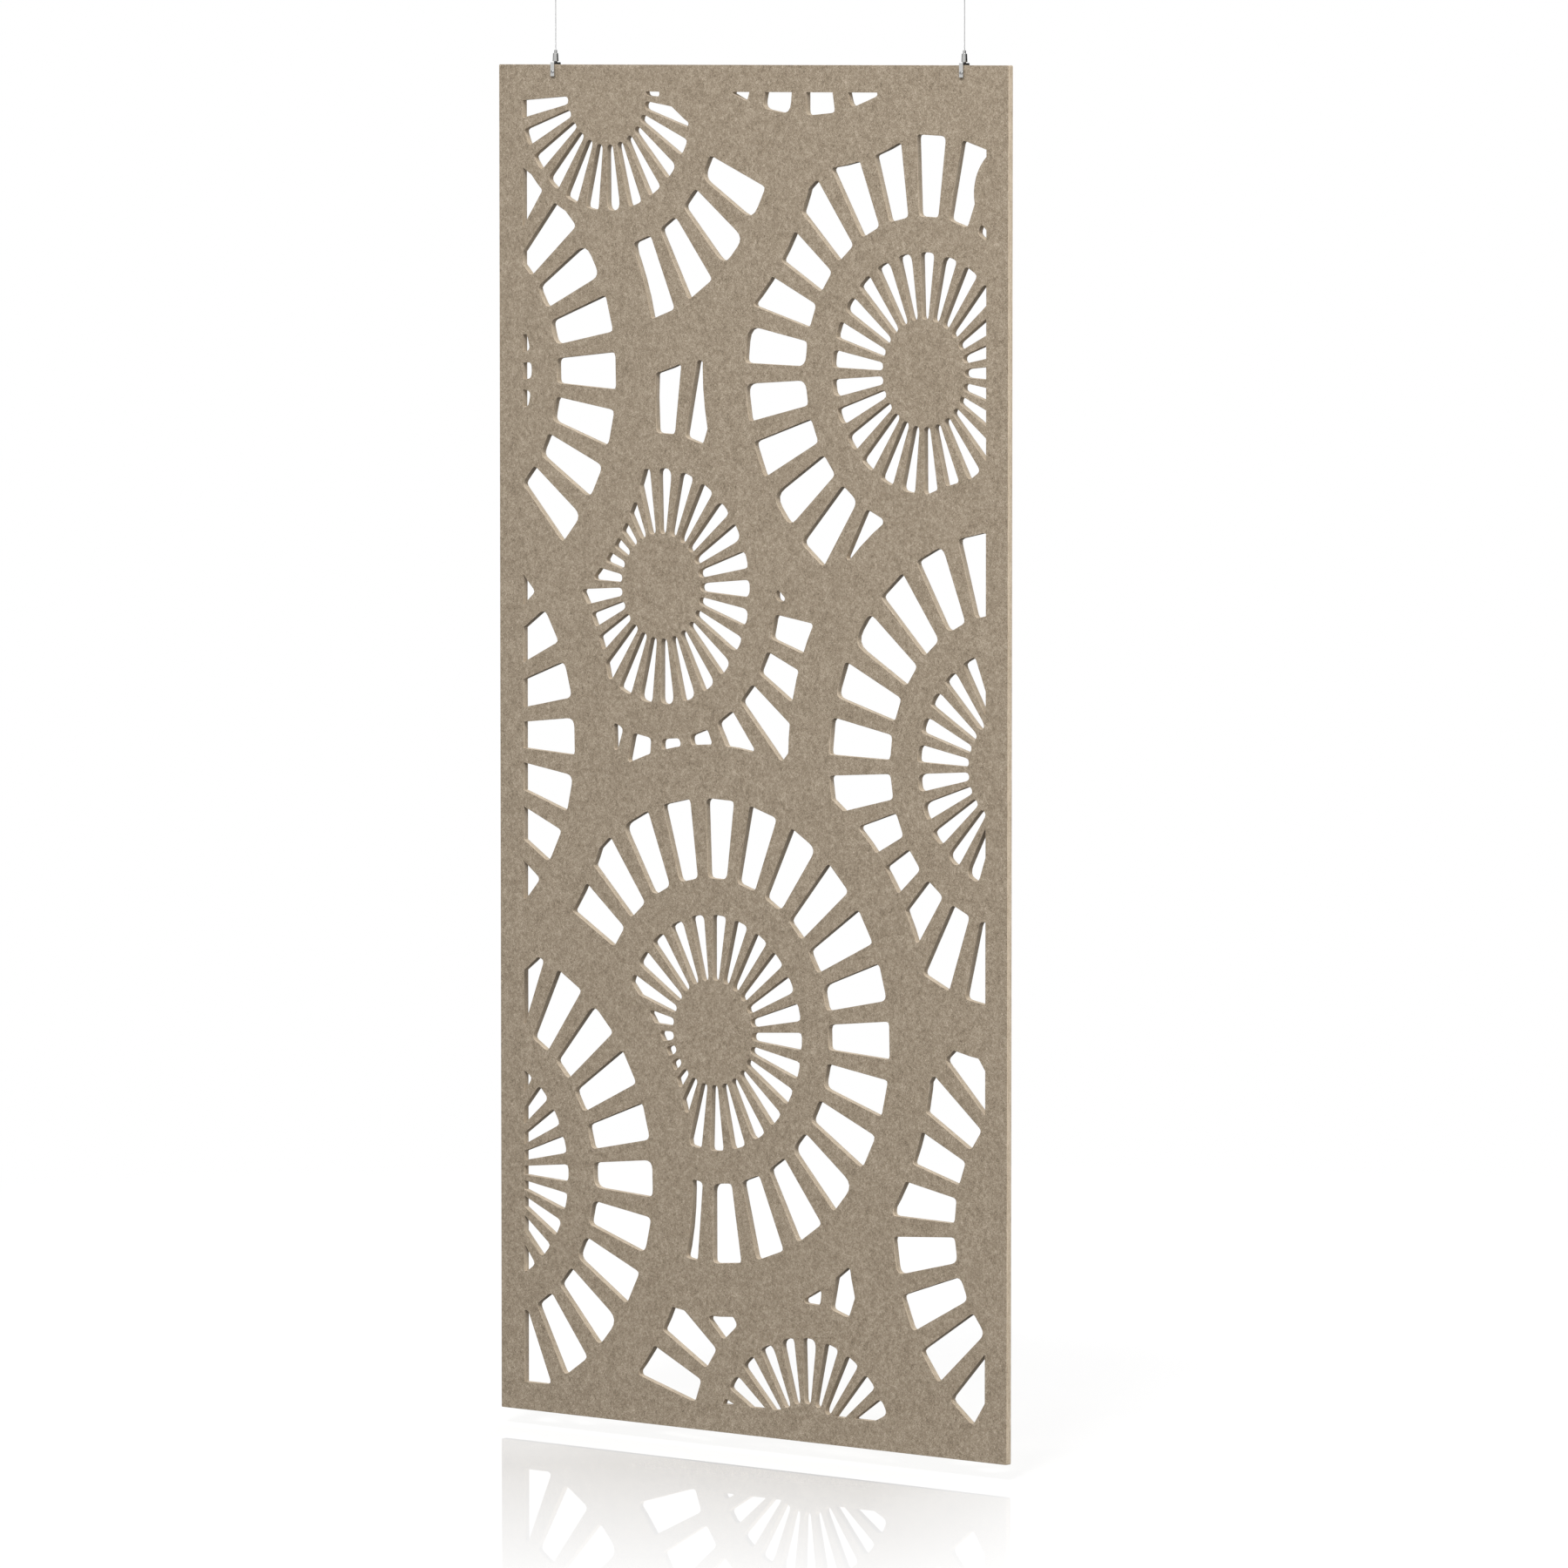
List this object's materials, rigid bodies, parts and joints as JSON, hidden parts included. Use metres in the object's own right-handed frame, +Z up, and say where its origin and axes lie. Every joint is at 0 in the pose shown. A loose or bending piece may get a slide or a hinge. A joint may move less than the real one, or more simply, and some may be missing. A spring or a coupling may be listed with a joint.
{
  "type": "hanging room divider panel",
  "caption": "Tall pierced felt board with overlapping sunburst wheels, hung from the ceiling by wire ropes, ball grippers and panel clamps.",
  "frame": {"origin": "on the ceiling plane, midway between the two ceiling fixing holes", "axes": "+X along the board to the right as seen from its front, +Y from the front face to the back, +Z up"},
  "size_m": [1.2, 0.0223, 2.582],
  "materials": {
    "felt": "heathered pressed felt board, cut edges a shade lighter",
    "satin_nickel": "satin nickel plate",
    "bright_nickel": "bright nickel plate",
    "steel": "plain steel",
    "wire_rope": "stranded galvanised wire",
    "dark_steel": "dark oiled steel"
  },
  "bodies": {
    "ceiling": {"ceiling_base_left": "satin_nickel", "ceiling_base_right": "satin_nickel", "ceiling_cap_left": "satin_nickel", "ceiling_cap_right": "satin_nickel"},
    "wire_ends": {"wire_stop_ball_left": "steel", "wire_stop_ball_right": "steel"},
    "wire_left": {"wire_rope_left": "wire_rope"},
    "wire_right": {"wire_rope_right": "wire_rope"},
    "panel": {"felt_panel": "felt", "clamp_bracket_left": "bright_nickel", "clamp_bracket_right": "bright_nickel", "clamp_screw_left": "dark_steel", "clamp_screw_right": "dark_steel", "pressure_plate_left": "steel", "pressure_plate_right": "steel", "gripper_stud_left": "dark_steel", "gripper_stud_right": "dark_steel", "gripper_housing_left": "bright_nickel", "gripper_housing_right": "bright_nickel", "release_spring_left": "dark_steel", "release_spring_right": "dark_steel"},
    "sleeve_left": {"release_sleeve_left": "bright_nickel", "grip_balls_left": "steel"},
    "sleeve_right": {"release_sleeve_right": "bright_nickel", "grip_balls_right": "steel"}
  },
  "joints": [
    {"name": "swing", "type": "hinge", "parent": "ceiling", "child": "wire_ends", "pos_m": [0, 0, -0.016], "axis": [1, 0, 0], "range_deg": [-10, 10]},
    {"name": "sway", "type": "hinge", "parent": "wire_ends", "child": "wire_left", "pos_m": [-0.481, 0, -0.016], "axis": [0, 1, 0], "range_deg": [-4, 4]},
    {"name": "right_wire_lean", "type": "hinge", "parent": "wire_ends", "child": "wire_right", "pos_m": [0.481, 0, -0.016], "axis": [0, 1, 0], "range_deg": [-4, 4]},
    {"name": "panel_level", "type": "hinge", "parent": "wire_left", "child": "panel", "pos_m": [-0.481, 0, -0.12961], "axis": [0, 1, 0], "range_deg": [-4, 4]},
    {"name": "left_release", "type": "slide", "parent": "panel", "child": "sleeve_left", "axis": [0, 0, -1], "range_m": [0, 0.0015], "stiffness_N_per_m": 1200, "springref_m": -0.0005, "deforming": ["release_spring_left"]},
    {"name": "right_release", "type": "slide", "parent": "panel", "child": "sleeve_right", "axis": [0, 0, -1], "range_m": [0, 0.0015], "stiffness_N_per_m": 1200, "springref_m": -0.0005, "deforming": ["release_spring_right"]}
  ],
  "couplings": [
    {"joint": "right_wire_lean", "follows": "sway", "ratio": 1},
    {"joint": "panel_level", "follows": "sway", "ratio": -1}
  ]
}
